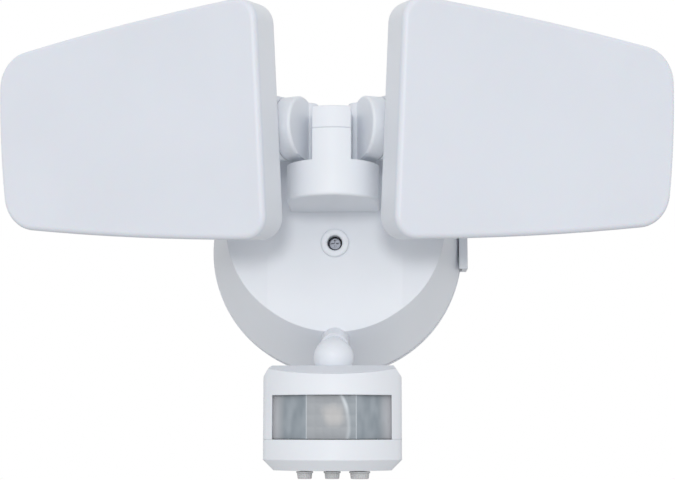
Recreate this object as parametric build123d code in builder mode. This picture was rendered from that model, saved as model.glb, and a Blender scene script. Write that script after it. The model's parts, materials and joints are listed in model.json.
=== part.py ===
from build123d import *
from math import atan, cos, radians, sin, sqrt, tan
import os

# A wall light with two aimable lamp heads, a round canopy and a movement sensor that
# hangs below it.  Millimetres.  +X is to the right as a person facing the wall sees it,
# +Z is up, and the wall is the plane y = 0 with the light standing out towards -Y.
# The origin is the middle of the crossbar's screw slots, on the wall plane.

os.makedirs("parts", exist_ok=True)

# ---------------------------------------------------------------- driving dimensions

# canopy
rim_radius = 60.0
rim_front = 10.0            # how far the straight rim stands out from the wall
rim_back = 7.0              # the cover's rear edge
plateau_radius = 50.5
plateau_rise = 9.0          # the flat front sits this much above the rim's centre
plateau_depth = 37.0        # from the wall to the flat front
cover_wall = 2.5
crease_half_width = 31.5    # the flat front folds back outside these two creases
crease_angle = 6.0
gasket_thickness = 2.0
ring_radius = 60.6          # outer edge of the gasket and the back plate
ring_width = 6.5
ring_front = 6.0

# crossbar and centre screw
bar_length = 104.0
bar_width = 18.0
bar_thickness = 2.0
slot_spacing = 79.4         # between the slot centres: takes 69.9 to 88.9 mm box screws
slot_width = 4.8
slot_length = 14.4
bar_corner = 4.0
screw_radius = 2.0
screw_head_radius = 3.2
screw_head_height = 2.4
bezel_radius = 6.6
bezel_hole_radius = 3.5
bezel_height = 1.6
head_seat_depth = 31.0      # where the screw's head lands, measured from the wall

# hub
hub_radius = 21.0
hub_axis = 58.3             # distance of the hub's round nose axis from the wall
hub_bottom = 16.0           # under the nose; the underside falls towards the wall
hub_rear_bottom = 14.7
hub_ledge = 32.2
hub_seam = 46.2
hub_top = 56.3
column_half_width = 8.6
wire_bore_radius = 5.0

# knuckles and lamp heads, given for the right side; the left is their mirror image
yaw = 23.5                  # each head is turned outward by this much
pitch = 6.3                 # and down by this much
knuckle_radius = 14.3
knuckle_centre = (13.0, -66.0, 48.9)
arm_thickness = 8.0
pivot_back = 9.4            # the upright pivot lies this far behind the knuckle's centre
barrel_radius = 6.0
barrel_bottom = 32.5
barrel_top = 61.4
barrel_clearance = 0.3      # between the barrel and its hollow in the column
bolt_radius = 2.0
bolt_head_radius = 3.8
running_gap = 0.06

head_corner = (30.4, -98.0, 47.2)   # middle of the head's inner edge, on its front plane
head_width = 137.4
head_inner_height = 106.2
head_outer_height = 79.7
side_crown = 1.7            # bulge of the long edges
end_crown = 2.0             # bulge of the outer edge
inner_corner_radius = 10.0
outer_corner_radius = 17.0
head_depth = 21.0
head_back_round = 4.5
head_wall = 2.2
lens_rim = 3.0              # how much of the side belongs to the lens
lens_round = 2.4
lens_wall = 2.0
lens_skirt = 4.0
ledge_depth = 8.2           # the housing wall is thicker behind this
ledge_inset = 4.4
lug_gap = 0.3
lug_length = 22.0
lug_wall = 3.0
lug_end_round = 3.0
lens_clearance = 0.15       # between the lens skirt and the housing wall

# sensor
ball_centre = (0.0, -52.0, -54.0)
ball_radius = 9.0
ball_bore = 6.6
stem_radius = 5.0
stem_bore = 3.7
stem_direction = (0.0, 0.9, 0.436)
stem_length = 34.0
stem_nut_along = 30.0       # the nut's seat inside the canopy, from the ball's centre
boss_radius = 6.5
boss_start = 13.0
cup_gap = 0.3
sensor_half_width = 30.5
sensor_front = 83.0
sensor_shoulder = 68.0      # where the straight sides turn into the bowed front
sensor_back = 34.0
sensor_top = 58.1           # heights below are measured down from the origin
window_top = 71.4
sensor_split = 90.5
bevel_top = 99.3
sensor_bottom = 103.9
sensor_wall = 2.2
window_half_width = 26.0
window_back = 66.0          # how near to the wall the window's ends reach
facet_half_width = 10.8
knob_bottom = 107.5
knob_spacing = 12.0
knob_row = 68.0             # distance of the knob row from the wall

# ---------------------------------------------------------------- directions and planes

outward = Vector(cos(radians(yaw)), sin(radians(yaw)), 0)
rearward = Vector(-sin(radians(yaw)), cos(radians(yaw)), 0)
facing = rearward * -cos(radians(pitch)) + Vector(0, 0, -sin(radians(pitch)))
arm_plane = Plane(origin=knuckle_centre, x_dir=rearward, z_dir=outward)
head_plane = Plane(origin=head_corner, x_dir=outward, z_dir=facing)
knuckle = head_plane.to_local_coords(Vector(*knuckle_centre))
pivot = Vector(*knuckle_centre) + rearward * pivot_back + outward * (arm_thickness / 2)
stem = Vector(*stem_direction).normalized()


def wall_plane(distance, height=0.0):
    """A plane parallel to the wall, seen from the room, at a distance from the wall."""
    return Plane(origin=(0, -distance, height), x_dir=(1, 0, 0), z_dir=(0, -1, 0))


def lug_plane(along):
    """A plane square to the tilt axis, its origin on that axis."""
    origin = head_plane.from_local_coords(Vector(along, knuckle.Y, knuckle.Z))
    return Plane(origin=origin, x_dir=facing, z_dir=outward)


def stem_plane(along):
    """A plane square to the sensor's stem, at a distance from the ball's centre."""
    return Plane(origin=Vector(*ball_centre) + stem * along, x_dir=(1, 0, 0), z_dir=stem)


def finish(builder, name):
    """Name a finished piece and write its file."""
    builder.part.label = name
    export_step(builder.part, f"parts/{name}.step")


def finish_pair(builder, name):
    """Write a right-hand piece and its mirror image on the left."""
    finish(builder, "right_" + name)
    with BuildPart() as twin:
        mirror(builder.part, about=Plane.YZ)
    finish(twin, "left_" + name)


# ---------------------------------------------------------------- canopy

def canopy_form(inset):
    """The canopy's outer form, or the hollow inside it when inset by the wall."""
    fold_reach = rim_radius
    fold_drop = fold_reach * sin(radians(crease_angle))
    flat = plateau_depth - inset
    with BuildPart() as form:
        with BuildSketch(wall_plane(rim_back)):
            Circle(rim_radius - inset)
        extrude(amount=rim_front - rim_back)
        with BuildSketch(wall_plane(rim_front)):
            Circle(rim_radius - inset)
        with BuildSketch(wall_plane(flat)):
            with Locations((0, plateau_rise)):
                Circle(plateau_radius - inset)
        loft()
        for side in (-1, 1):
            start = side * crease_half_width
            end = side * (crease_half_width + fold_reach)
            with BuildSketch(Plane.XY.offset(-rim_radius)):
                Polygon(
                    (start, -flat),
                    (end, -flat),
                    (end, -flat + fold_drop),
                    align=None,
                )
            extrude(amount=2 * rim_radius + plateau_rise, mode=Mode.SUBTRACT)
    return form.part


post_places = [(-25, 13), (25, 13), (-25, 40), (25, 40)]
post_radius = 3.0
board_depth = 20.4          # the driver board's rear face, from the wall
board_thickness = 1.6
hub_screw_places = [(-14, 24.3), (14, 24.3)]
hub_screw_radius = 1.6
hub_screw_head = 3.0
hub_wire_height = 24.3
screw_boss_wall = 1.5       # how far the screw's boss stands out past the bezel
screw_boss_length = 9.0
screw_clearance = 0.3

with BuildPart() as canopy_cover:
    add(canopy_form(0.0))
    add(canopy_form(cover_wall), mode=Mode.SUBTRACT)
    with BuildSketch(wall_plane(plateau_depth - cover_wall)):
        Circle(bezel_radius + screw_boss_wall)
    extrude(amount=-screw_boss_length)
    with BuildSketch(wall_plane(plateau_depth - cover_wall)):
        with Locations(*post_places):
            Circle(post_radius)
    extrude(amount=-(plateau_depth - cover_wall - board_depth - board_thickness))
    with BuildSketch(stem_plane(boss_start)):
        Circle(boss_radius)
    extrude(amount=stem_nut_along - boss_start)
    with BuildSketch(wall_plane(plateau_depth)):
        Circle(bezel_hole_radius)
    extrude(amount=-(plateau_depth - head_seat_depth), mode=Mode.SUBTRACT)
    with BuildSketch(wall_plane(head_seat_depth)):
        Circle(screw_radius + screw_clearance)
    extrude(amount=-head_seat_depth, mode=Mode.SUBTRACT)
    with BuildSketch(wall_plane(plateau_depth)):
        with Locations(*hub_screw_places):
            Circle(hub_screw_radius)
        with Locations((0, hub_wire_height)):
            Circle(wire_bore_radius)
    extrude(amount=-2 * cover_wall, mode=Mode.SUBTRACT)
    with BuildSketch(stem_plane(boss_start)):
        Circle(stem_radius)
    extrude(amount=stem_length, mode=Mode.SUBTRACT)
finish(canopy_cover, "canopy_cover")

with BuildPart() as wall_gasket:
    with BuildSketch(wall_plane(0)):
        Circle(ring_radius)
        Circle(ring_radius - ring_width, mode=Mode.SUBTRACT)
    extrude(amount=gasket_thickness)
finish(wall_gasket, "wall_gasket")

clip_half_height = 10.0
clip_front = 17.0
clip_inner = ring_radius - 0.2
clip_outer = 62.9
clip_root = 1.0             # how far the clip reaches into the ring
hook_inner = 58.9
hook_thickness = 2.0
hook_slope = 0.6
spigot_depth = 3.0
spigot_clearance = 0.2

with BuildPart() as back_plate:
    with BuildSketch(wall_plane(gasket_thickness)):
        Circle(ring_radius)
        Circle(ring_radius - ring_width, mode=Mode.SUBTRACT)
    extrude(amount=ring_front - gasket_thickness)
    with BuildSketch(wall_plane(ring_front)):
        Circle(rim_radius - cover_wall - spigot_clearance)
        Circle(ring_radius - ring_width, mode=Mode.SUBTRACT)
    extrude(amount=spigot_depth)
    with BuildSketch(Plane.XY.offset(-clip_half_height)):
        Polygon(
            (clip_inner - clip_root, -gasket_thickness),
            (clip_outer, -gasket_thickness),
            (clip_outer, -clip_front),
            (hook_inner, -clip_front),
            (hook_inner, -clip_front + hook_thickness),
            (clip_inner, -clip_front + hook_thickness + hook_slope),
            (clip_inner, -ring_front),
            (clip_inner - clip_root, -ring_front),
            align=None,
        )
    extrude(amount=2 * clip_half_height)
finish(back_plate, "back_plate")

ground_place = (-18.0, 0.0)
ground_radius = 1.8
ground_head_radius = 3.6
ground_head_height = 2.4
ground_slot = (4.6, 0.9)

with BuildPart() as crossbar:
    with BuildSketch(wall_plane(0)):
        RectangleRounded(bar_length, bar_width, bar_corner)
        with Locations((-slot_spacing / 2, 0), (slot_spacing / 2, 0)):
            SlotOverall(slot_length, slot_width, mode=Mode.SUBTRACT)
        Circle(screw_radius, mode=Mode.SUBTRACT)
        with Locations(ground_place):
            Circle(ground_radius, mode=Mode.SUBTRACT)
    extrude(amount=bar_thickness)
finish(crossbar, "crossbar")

with BuildPart() as ground_screw:
    with BuildSketch(wall_plane(0)):
        with Locations(ground_place):
            Circle(ground_radius)
    extrude(amount=bar_thickness)
    with BuildSketch(wall_plane(bar_thickness)):
        with Locations(ground_place):
            RegularPolygon(ground_head_radius, 6)
            Rectangle(*ground_slot, mode=Mode.SUBTRACT)
    extrude(amount=ground_head_height)
finish(ground_screw, "ground_screw")


cross_arm = 0.24            # width of a cross recess's arm, as a share of its size
cross_depth = 1.4


def cross_face(size):
    """The outline of a cross recess in a screw's head."""
    with BuildSketch() as cross:
        Rectangle(size, size * cross_arm)
        Rectangle(size * cross_arm, size)
    return cross.sketch


with BuildPart() as centre_screw:
    with BuildSketch(wall_plane(0)):
        Circle(screw_radius)
    extrude(amount=head_seat_depth)
    with BuildSketch(wall_plane(head_seat_depth)):
        Circle(screw_head_radius)
    extrude(amount=screw_head_height)
    fillet(centre_screw.faces().sort_by(Axis.Y)[0].edges(), screw_head_height / 3)
    with BuildSketch(wall_plane(head_seat_depth + screw_head_height)):
        add(cross_face(1.2 * screw_head_radius))
    extrude(amount=-cross_depth, mode=Mode.SUBTRACT)
finish(centre_screw, "centre_screw")

with BuildPart() as screw_bezel:
    with BuildSketch(wall_plane(plateau_depth)):
        Circle(bezel_radius)
        Circle(bezel_hole_radius, mode=Mode.SUBTRACT)
    extrude(amount=bezel_height)
    fillet(screw_bezel.faces().sort_by(Axis.Y)[0].edges(), bezel_height * 0.47)
finish(screw_bezel, "screw_bezel")

# ---------------------------------------------------------------- driver inside the canopy

board_width = 62.0
board_height = 36.0
board_middle = 26.5
board_corner = 2.0
board_screw_radius = 1.3
board_screw_head = (2.5, 1.8)          # radius and height
transformer = (17.0, 15.0, 10.0)       # width, height and depth
transformer_place = (-8, 33)
capacitors = {(10, 35): 5.0, (-14, 17): 3.5}    # place and radius
capacitor_depth = 10.5
chip_block = (9.0, 6.0, 4.0)
chip_block_place = (13, 20)

with BuildPart() as driver_board:
    with BuildSketch(wall_plane(board_depth, board_middle)):
        RectangleRounded(board_width, board_height, board_corner)
        with Locations(*[(x, z - board_middle) for x, z in post_places]):
            Circle(board_screw_radius, mode=Mode.SUBTRACT)
    extrude(amount=board_thickness)
finish(driver_board, "driver_board")

with BuildPart() as driver_components:
    with BuildSketch(wall_plane(board_depth + board_thickness)):
        with Locations(transformer_place):
            Rectangle(transformer[0], transformer[1])
    extrude(amount=transformer[2])
    with BuildSketch(wall_plane(board_depth + board_thickness)):
        for place, radius in capacitors.items():
            with Locations(place):
                Circle(radius)
    extrude(amount=capacitor_depth)
    with BuildSketch(wall_plane(board_depth + board_thickness)):
        with Locations(chip_block_place):
            Rectangle(chip_block[0], chip_block[1])
    extrude(amount=chip_block[2])
finish(driver_components, "driver_components")

with BuildPart() as driver_screws:
    with BuildSketch(wall_plane(board_depth)):
        with Locations(*post_places):
            Circle(board_screw_head[0])
    extrude(amount=-board_screw_head[1])
    with BuildSketch(wall_plane(board_depth)):
        with Locations(*post_places):
            Circle(board_screw_radius)
    extrude(amount=board_thickness)
finish(driver_screws, "driver_screws")

# ---------------------------------------------------------------- hub

nose_side = sqrt(hub_radius**2 - column_half_width**2)


def column_face():
    """The column's plan: flush with the hub's round nose in front, flat at the wall end."""
    with BuildSketch() as plan:
        with BuildLine():
            Polyline(
                (-column_half_width, -hub_axis - nose_side),
                (-column_half_width, -plateau_depth),
                (column_half_width, -plateau_depth),
                (column_half_width, -hub_axis - nose_side),
            )
            ThreePointArc(
                (column_half_width, -hub_axis - nose_side),
                (0, -hub_axis - hub_radius),
                (-column_half_width, -hub_axis - nose_side),
            )
        make_face()
    return plan.sketch


hub_round = 1.3
cap_round = 0.8
cap_chamfer = 0.35          # makes the fine groove at the seam below the cap
wire_turn = 12.0            # how far the wire bore runs out from the wall end before it turns up
wire_rise_radius = 4.0
cap_bore_depth = 6.0
pin_radius = 1.5            # the upright yaw pins
pin_bottom = 19.0
hub_screw_length = 11.0     # in the hub
hub_screw_head_height = 2.0


def barrel_hollows():
    """The plan of the two hollows in the column's sides that the arms' barrels turn in."""
    with BuildSketch() as plan:
        with Locations((pivot.X, pivot.Y), (-pivot.X, pivot.Y)):
            Circle(barrel_radius + barrel_clearance)
    return plan.sketch


with BuildPart() as hub_body:
    with BuildSketch(Plane.XY.offset(hub_rear_bottom)):
        with Locations((0, -hub_axis)):
            Circle(hub_radius)
        with Locations((0, -(hub_axis + plateau_depth) / 2)):
            Rectangle(2 * hub_radius, hub_axis - plateau_depth)
    extrude(amount=hub_ledge - hub_rear_bottom)
    with BuildSketch(Plane.YZ.offset(-hub_radius)):
        Polygon(
            (-plateau_depth, hub_rear_bottom),
            (-hub_axis - hub_radius, hub_bottom),
            (-hub_axis - hub_radius, hub_rear_bottom),
            align=None,
        )
    extrude(amount=2 * hub_radius, mode=Mode.SUBTRACT)
    fillet(hub_body.faces().sort_by(Axis.Z)[0].edges().filter_by(
        lambda edge: edge.center().Y < -plateau_depth - 1), hub_round)
    with BuildSketch(Plane.XY.offset(hub_ledge)):
        add(column_face())
        add(barrel_hollows(), mode=Mode.SUBTRACT)
    extrude(amount=hub_seam - hub_ledge)
    with BuildSketch(Plane.XY.offset(hub_ledge)):
        with Locations((pivot.X, pivot.Y), (-pivot.X, pivot.Y)):
            Circle(pin_radius)
    extrude(amount=pin_bottom - hub_ledge, mode=Mode.SUBTRACT)
    with BuildSketch(wall_plane(plateau_depth, hub_wire_height)):
        Circle(wire_bore_radius)
        with Locations((hub_screw_places[0][0], 0), (hub_screw_places[1][0], 0)):
            Circle(hub_screw_radius)
    extrude(amount=wire_turn, mode=Mode.SUBTRACT)
    with BuildSketch(Plane.XY.offset(hub_wire_height)):
        with Locations((0, -plateau_depth - wire_turn)):
            Circle(wire_rise_radius)
    extrude(amount=hub_seam - hub_wire_height, mode=Mode.SUBTRACT)
finish(hub_body, "hub_body")

with BuildPart() as hub_cap:
    with BuildSketch(Plane.XY.offset(hub_seam)):
        add(column_face())
        add(barrel_hollows(), mode=Mode.SUBTRACT)
    extrude(amount=hub_top - hub_seam)
    chamfer(hub_cap.faces().sort_by(Axis.Z)[0].edges(), cap_chamfer)
    fillet(hub_cap.faces().sort_by(Axis.Z)[-1].edges().filter_by(
        lambda edge: edge.center().Y < -plateau_depth - 1), cap_round)
    with BuildSketch(Plane.XY.offset(hub_seam)):
        with Locations((0, -plateau_depth - wire_turn)):
            Circle(wire_rise_radius)
    extrude(amount=cap_bore_depth, mode=Mode.SUBTRACT)
finish(hub_cap, "hub_cap")

with BuildPart() as hub_screws:
    for place in hub_screw_places:
        with BuildSketch(wall_plane(plateau_depth - cover_wall)):
            with Locations(place):
                Circle(hub_screw_radius)
        extrude(amount=cover_wall + hub_screw_length)
        with BuildSketch(wall_plane(plateau_depth - cover_wall)):
            with Locations(place):
                Circle(hub_screw_head)
        extrude(amount=-hub_screw_head_height)
finish(hub_screws, "hub_screws")

# ---------------------------------------------------------------- arms

web_front = -6.0
web_drop = barrel_bottom - knuckle_centre[2]
bolt_blind = 2.6            # the arm's visible inner face stays whole in front of the bolt
arm_round = 1.3
pin_seat = 57.0             # floor of the pocket in the barrel's top
pin_pocket_radius = 3.0
pin_washer = 0.8
pin_washer_radius = 2.8
pin_washer_gap = 0.1
pin_head = 2.4
pin_head_radius = 2.7

with BuildPart() as right_arm:
    with BuildSketch(arm_plane):
        Circle(knuckle_radius)
    extrude(amount=arm_thickness)
    fillet(right_arm.faces().sort_by(Axis(knuckle_centre, outward))[0].edges(), arm_round)
    with BuildSketch(arm_plane):
        with BuildLine():
            Polyline(
                (web_front, -sqrt(knuckle_radius**2 - web_front**2)),
                (pivot_back, web_drop),
                (pivot_back, 0),
                (web_front, 0),
                close=True,
            )
        make_face()
    extrude(amount=arm_thickness)
    with BuildSketch(arm_plane):
        with Locations((pivot_back + knuckle_radius, 0)):
            Rectangle(2 * knuckle_radius, 4 * knuckle_radius)
    extrude(amount=arm_thickness, mode=Mode.SUBTRACT)
    with BuildSketch(Plane.XY.offset(barrel_bottom)):
        with Locations((pivot.X, pivot.Y)):
            Circle(barrel_radius)
    extrude(amount=barrel_top - barrel_bottom)
    with BuildSketch(arm_plane.offset(arm_thickness)):
        Circle(2 * knuckle_radius)
    extrude(amount=barrel_radius, mode=Mode.SUBTRACT)
    with BuildSketch(Plane.XY.offset(barrel_bottom)):
        with Locations((pivot.X, pivot.Y)):
            Circle(pin_radius + running_gap)
    extrude(amount=barrel_top - barrel_bottom, mode=Mode.SUBTRACT)
    with BuildSketch(Plane.XY.offset(pin_seat)):
        with Locations((pivot.X, pivot.Y)):
            Circle(pin_pocket_radius)
    extrude(amount=knuckle_radius, mode=Mode.SUBTRACT)
    with BuildSketch(arm_plane.offset(bolt_blind)):
        Circle(bolt_radius)
    extrude(amount=arm_thickness, mode=Mode.SUBTRACT)
finish_pair(right_arm, "arm")

with BuildPart() as right_yaw_washer:
    with BuildSketch(Plane.XY.offset(pin_seat + pin_washer_gap)):
        with Locations((pivot.X, pivot.Y)):
            Circle(pin_washer_radius)
            Circle(pin_radius, mode=Mode.SUBTRACT)
    extrude(amount=pin_washer)
finish_pair(right_yaw_washer, "yaw_washer")

with BuildPart() as right_yaw_screw:
    pin_top = pin_seat + pin_washer_gap + pin_washer
    with BuildSketch(Plane.XY.offset(pin_bottom)):
        with Locations((pivot.X, pivot.Y)):
            Circle(pin_radius)
    extrude(amount=pin_top - pin_bottom)
    with BuildSketch(Plane.XY.offset(pin_top)):
        with Locations((pivot.X, pivot.Y)):
            Circle(pin_head_radius)
    extrude(amount=pin_head)
    fillet(right_yaw_screw.faces().sort_by(Axis.Z)[-1].edges(), pin_head / 3)
    with BuildSketch(Plane(origin=(pivot.X, pivot.Y, pin_top + pin_head))):
        add(cross_face(1.2 * pin_head_radius))
    extrude(amount=-cross_depth, mode=Mode.SUBTRACT)
finish_pair(right_yaw_screw, "yaw_screw")

# ---------------------------------------------------------------- lamp heads

def head_face(inset=0.0):
    """The head's outline on its own plane: a trapezoid with bowed edges and round corners.

    An inset outline keeps the same distance from every edge.
    """
    lean = atan((head_inner_height - head_outer_height) / 2 / head_width)
    top_of_edge = head_inner_height / 2 - inset / cos(lean)
    right = head_width - inset
    inner = top_of_edge - inset * tan(lean)
    outer = top_of_edge - right * tan(lean)
    middle = (inner + outer) / 2 + side_crown
    centre = (inset + right) / 2
    with BuildSketch() as outline:
        with BuildLine():
            Line((inset, -inner), (inset, inner))
            ThreePointArc((inset, inner), (centre, middle), (right, outer))
            ThreePointArc((right, outer), (right + end_crown, 0), (right, -outer))
            ThreePointArc((right, -outer), (centre, -middle), (inset, -inner))
        make_face()
        fillet(vertices().sort_by(Axis.X)[:2], inner_corner_radius - inset)
        fillet(vertices().sort_by(Axis.X)[-2:], outer_corner_radius - inset)
    return outline.sketch


lug_start = knuckle.X + arm_thickness + lug_gap
lug_root = 1.0              # how far the lug reaches into the head's back
lug_reach = -knuckle.Z - head_depth + lug_root
floor_depth = head_depth - head_wall

with BuildPart() as right_housing:
    with BuildSketch(head_plane.offset(-head_depth)):
        add(head_face())
    extrude(amount=head_depth - lens_rim)
    back_edges = right_housing.faces().sort_by(Axis(head_corner, facing))[0].edges()
    fillet(back_edges, head_back_round)
    with BuildSketch(lug_plane(lug_start)):
        Circle(knuckle_radius)
        with Locations((lug_reach / 2, 0)):
            Rectangle(lug_reach, 2 * knuckle_radius)
    extrude(amount=lug_length)
    lug_end = right_housing.edges().filter_by(
        lambda edge: abs(head_plane.to_local_coords(edge).center().X - lug_start - lug_length) < 0.01
        and edge.length > lug_reach / 2)
    fillet(lug_end.filter_by(GeomType.CIRCLE), lug_end_round)
    with BuildSketch(lug_plane(lug_start + lug_wall)):
        Circle(knuckle_radius - lug_wall)
        with Locations((lug_reach / 2 + head_wall, 0)):
            Rectangle(lug_reach + 2 * head_wall, 2 * (knuckle_radius - lug_wall))
    extrude(amount=lug_length - 2 * lug_wall, mode=Mode.SUBTRACT)
    with BuildSketch(head_plane.offset(-floor_depth)):
        add(head_face(ledge_inset))
    extrude(amount=floor_depth - ledge_depth, mode=Mode.SUBTRACT)
    with BuildSketch(head_plane.offset(-ledge_depth)):
        add(head_face(head_wall))
    extrude(amount=ledge_depth, mode=Mode.SUBTRACT)
    with BuildSketch(lug_plane(lug_start)):
        Circle(bolt_radius + running_gap)
    extrude(amount=lug_wall, mode=Mode.SUBTRACT)
finish_pair(right_housing, "head_housing")

with BuildPart() as right_lens:
    with BuildSketch(head_plane.offset(-lens_rim)):
        add(head_face())
    extrude(amount=lens_rim)
    fillet(right_lens.faces().sort_by(Axis(head_corner, facing))[-1].edges(), lens_round)
    with BuildSketch(head_plane.offset(-lens_rim)):
        add(head_face(head_wall + lens_clearance))
    extrude(amount=-lens_skirt)
    with BuildSketch(head_plane.offset(-lens_wall)):
        add(head_face(head_wall + lens_clearance + lens_wall))
    extrude(amount=-(lens_rim + lens_skirt), mode=Mode.SUBTRACT)
finish_pair(right_lens, "lens")

with BuildPart() as right_lens_gasket:
    with BuildSketch(head_plane.offset(-ledge_depth)):
        add(head_face(head_wall + lens_clearance))
        add(head_face(ledge_inset), mode=Mode.SUBTRACT)
    extrude(amount=ledge_depth - lens_rim - lens_skirt)
finish_pair(right_lens_gasket, "lens_gasket")

spreader_thickness = 1.5
led_board_thickness = 1.6
board_inset = 7.0
spreader_margin = 1.0       # the spreader shows this much past the board's edge
chip_columns = 8
chip_rows = 4
chip_pitch = 13.0
first_chip_column = 20.0
row_spread = 1.25           # rows stand this much wider than the columns at the head's inner end
row_taper = 0.04            # and draw together by this much from one column to the next
chip_size = (3.5, 2.8)
chip_thickness = 0.8
board_screw_places = [(14, -34), (14, 34), (122, -26), (122, 26)]
led_screw_radius = 1.5
led_screw_head = (2.7, 1.8)            # radius and height
wire_hole_place = (head_width / 5, knuckle.Y)
spreader_wire_hole = 6.0
led_board_wire_hole = 3.0

with BuildPart() as right_heat_spreader:
    with BuildSketch(head_plane.offset(-floor_depth)):
        add(head_face(board_inset - spreader_margin))
        with Locations(wire_hole_place):
            Circle(spreader_wire_hole, mode=Mode.SUBTRACT)
    extrude(amount=spreader_thickness)
finish_pair(right_heat_spreader, "heat_spreader")

board_back = -floor_depth + spreader_thickness
board_front = board_back + led_board_thickness

with BuildPart() as right_led_board:
    with BuildSketch(head_plane.offset(board_back)):
        add(head_face(board_inset))
        with Locations(wire_hole_place):
            Circle(led_board_wire_hole, mode=Mode.SUBTRACT)
        with Locations(*board_screw_places):
            Circle(led_screw_radius, mode=Mode.SUBTRACT)
    extrude(amount=led_board_thickness)
finish_pair(right_led_board, "led_board")

with BuildPart() as right_leds:
    for column in range(chip_columns):
        for row in range(chip_rows):
            with BuildSketch(head_plane.offset(board_front)):
                with Locations((
                    first_chip_column + column * chip_pitch,
                    (row - (chip_rows - 1) / 2) * chip_pitch * (row_spread - row_taper * column),
                )):
                    Rectangle(*chip_size)
            extrude(amount=chip_thickness)
finish_pair(right_leds, "leds")

with BuildPart() as right_board_screws:
    with BuildSketch(head_plane.offset(board_front)):
        with Locations(*board_screw_places):
            Circle(led_screw_head[0])
    extrude(amount=led_screw_head[1])
    with BuildSketch(head_plane.offset(board_back)):
        with Locations(*board_screw_places):
            Circle(led_screw_radius)
    extrude(amount=led_board_thickness)
finish_pair(right_board_screws, "board_screws")

# the bolt on which each head tilts: fast in the arm, its head inside the housing's lug
bolt_seat = lug_start + lug_wall + lug_gap
tilt_washer_radius = 6.0
tilt_washer_thickness = 1.2
bolt_head_height = 2.8

with BuildPart() as right_tilt_washer:
    with BuildSketch(lug_plane(bolt_seat)):
        Circle(tilt_washer_radius)
        Circle(bolt_radius, mode=Mode.SUBTRACT)
    extrude(amount=tilt_washer_thickness)
finish_pair(right_tilt_washer, "tilt_washer")

with BuildPart() as right_tilt_bolt:
    with BuildSketch(arm_plane.offset(bolt_blind)):
        Circle(bolt_radius)
    extrude(amount=bolt_seat - knuckle.X - bolt_blind + tilt_washer_thickness)
    with BuildSketch(lug_plane(bolt_seat + tilt_washer_thickness)):
        RegularPolygon(bolt_head_radius, 6)
    extrude(amount=bolt_head_height)
finish_pair(right_tilt_bolt, "tilt_bolt")

# ---------------------------------------------------------------- sensor joint

ball_plane = Plane(origin=ball_centre)
slot_half_width = 2.3
slot_front = 6.4
slot_back = 4.8
stem_nut_radius = 7.6
stem_nut_height = 3.5

with BuildPart() as ball_stem:
    with BuildSketch(stem_plane(0)):
        Circle(stem_radius)
    extrude(amount=stem_length)
    with BuildSketch(Plane(origin=ball_centre, x_dir=(1, 0, 0), z_dir=(0, -1, 0))):
        with BuildLine():
            Line((0, -ball_radius), (0, ball_radius))
            ThreePointArc((0, ball_radius), (ball_radius, 0), (0, -ball_radius))
        make_face()
    revolve(axis=Axis(ball_centre, (0, 0, 1)))
    with BuildSketch(Plane(origin=ball_centre, x_dir=(1, 0, 0), z_dir=(0, -1, 0))):
        with BuildLine():
            Line((0, -ball_bore), (0, ball_bore))
            ThreePointArc((0, ball_bore), (ball_bore, 0), (0, -ball_bore))
        make_face()
    revolve(axis=Axis(ball_centre, (0, 0, 1)), mode=Mode.SUBTRACT)
    with BuildSketch(stem_plane(0)):
        Circle(stem_bore)
    extrude(amount=stem_length, mode=Mode.SUBTRACT)
    with BuildSketch(ball_plane):
        with Locations((0, (slot_back - slot_front) / 2)):
            Rectangle(2 * slot_half_width, slot_front + slot_back)
    extrude(amount=-ball_radius - 1, mode=Mode.SUBTRACT)
finish(ball_stem, "ball_stem")

with BuildPart() as stem_nut:
    with BuildSketch(stem_plane(stem_nut_along)):
        RegularPolygon(stem_nut_radius, 6)
        Circle(stem_radius, mode=Mode.SUBTRACT)
    extrude(amount=stem_nut_height)
finish(stem_nut, "stem_nut")

# the swivel bolt hangs from inside the hollow ball and carries the sensor's cup
bolt_under_head = 4.9
swivel_head_radius = 3.3
swivel_head_height = 2.5
cup_bottom = 12.4
nut_radius = 3.9
nut_height = 3.2

with BuildPart() as swivel_bolt:
    with BuildSketch(ball_plane.offset(-bolt_under_head)):
        Circle(swivel_head_radius)
    extrude(amount=swivel_head_height)
    with BuildSketch(ball_plane.offset(-bolt_under_head)):
        Circle(bolt_radius)
    extrude(amount=-(cup_bottom - bolt_under_head + cup_gap + nut_height))
finish(swivel_bolt, "swivel_bolt")

with BuildPart() as swivel_nut:
    with BuildSketch(ball_plane.offset(-cup_bottom - cup_gap)):
        RegularPolygon(nut_radius, 6)
        Circle(bolt_radius, mode=Mode.SUBTRACT)
    extrude(amount=-nut_height)
finish(swivel_nut, "swivel_nut")

# ---------------------------------------------------------------- sensor

front_corner_round = 7.0
back_corner_round = 9.0


def sensor_face(inset=0.0):
    """The sensor's plan: straight sides, a bowed front and rounded corners."""
    with BuildSketch() as plan:
        with BuildLine():
            Polyline(
                (sensor_half_width, -sensor_shoulder),
                (sensor_half_width, -sensor_back),
                (-sensor_half_width, -sensor_back),
                (-sensor_half_width, -sensor_shoulder),
            )
            ThreePointArc(
                (-sensor_half_width, -sensor_shoulder),
                (0, -sensor_front),
                (sensor_half_width, -sensor_shoulder),
            )
        make_face()
        fillet(vertices().sort_by(Axis.Y)[:2], front_corner_round)
        fillet(vertices().sort_by(Axis.Y)[-2:], back_corner_round)
        if inset:
            offset(amount=-inset, mode=Mode.REPLACE)
    return plan.sketch


def ball_hollow(radius):
    """A solid ball about the joint's centre, to cut a seat with."""
    with BuildPart() as ball:
        with BuildSketch(Plane(origin=ball_centre, x_dir=(1, 0, 0), z_dir=(0, -1, 0))):
            with BuildLine():
                Line((0, -radius), (0, radius))
                ThreePointArc((0, radius), (radius, 0), (0, -radius))
            make_face()
        revolve(axis=Axis(ball_centre, (0, 0, 1)))
    return ball.part


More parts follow.
